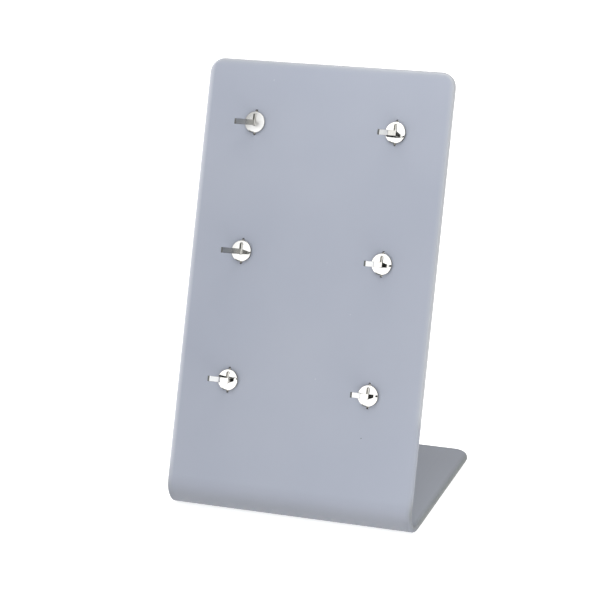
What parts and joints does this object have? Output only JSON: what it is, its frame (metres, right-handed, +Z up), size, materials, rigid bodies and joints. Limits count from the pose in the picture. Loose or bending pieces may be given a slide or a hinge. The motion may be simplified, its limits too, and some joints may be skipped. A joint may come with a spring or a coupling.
{
  "type": "pendant display stand",
  "caption": "Leaning pendant display stand: one heat-bent plastic sheet whose panel carries polished metal disc clips with long narrow arms to hang pendants on.",
  "frame": {"origin": "on the surface the stand rests on, at the middle of its width and halfway between the front of the bend and the back of the base", "axes": "+Z up, +X to the right of someone facing the panel, and the panel faces -Y"},
  "size_m": [0.12, 0.0936, 0.1951],
  "materials": {
    "sheet": "satin",
    "clip_metal": "mirror polish"
  },
  "bodies": {
    "root": {"bent_sheet": "sheet", "disc_top_left": "clip_metal", "strip_top_left": "clip_metal", "disc_top_right": "clip_metal", "strip_top_right": "clip_metal", "disc_middle_left": "clip_metal", "strip_middle_left": "clip_metal", "disc_middle_right": "clip_metal", "strip_middle_right": "clip_metal", "disc_bottom_left": "clip_metal", "strip_bottom_left": "clip_metal", "disc_bottom_right": "clip_metal", "strip_bottom_right": "clip_metal"}
  },
  "joints": []
}
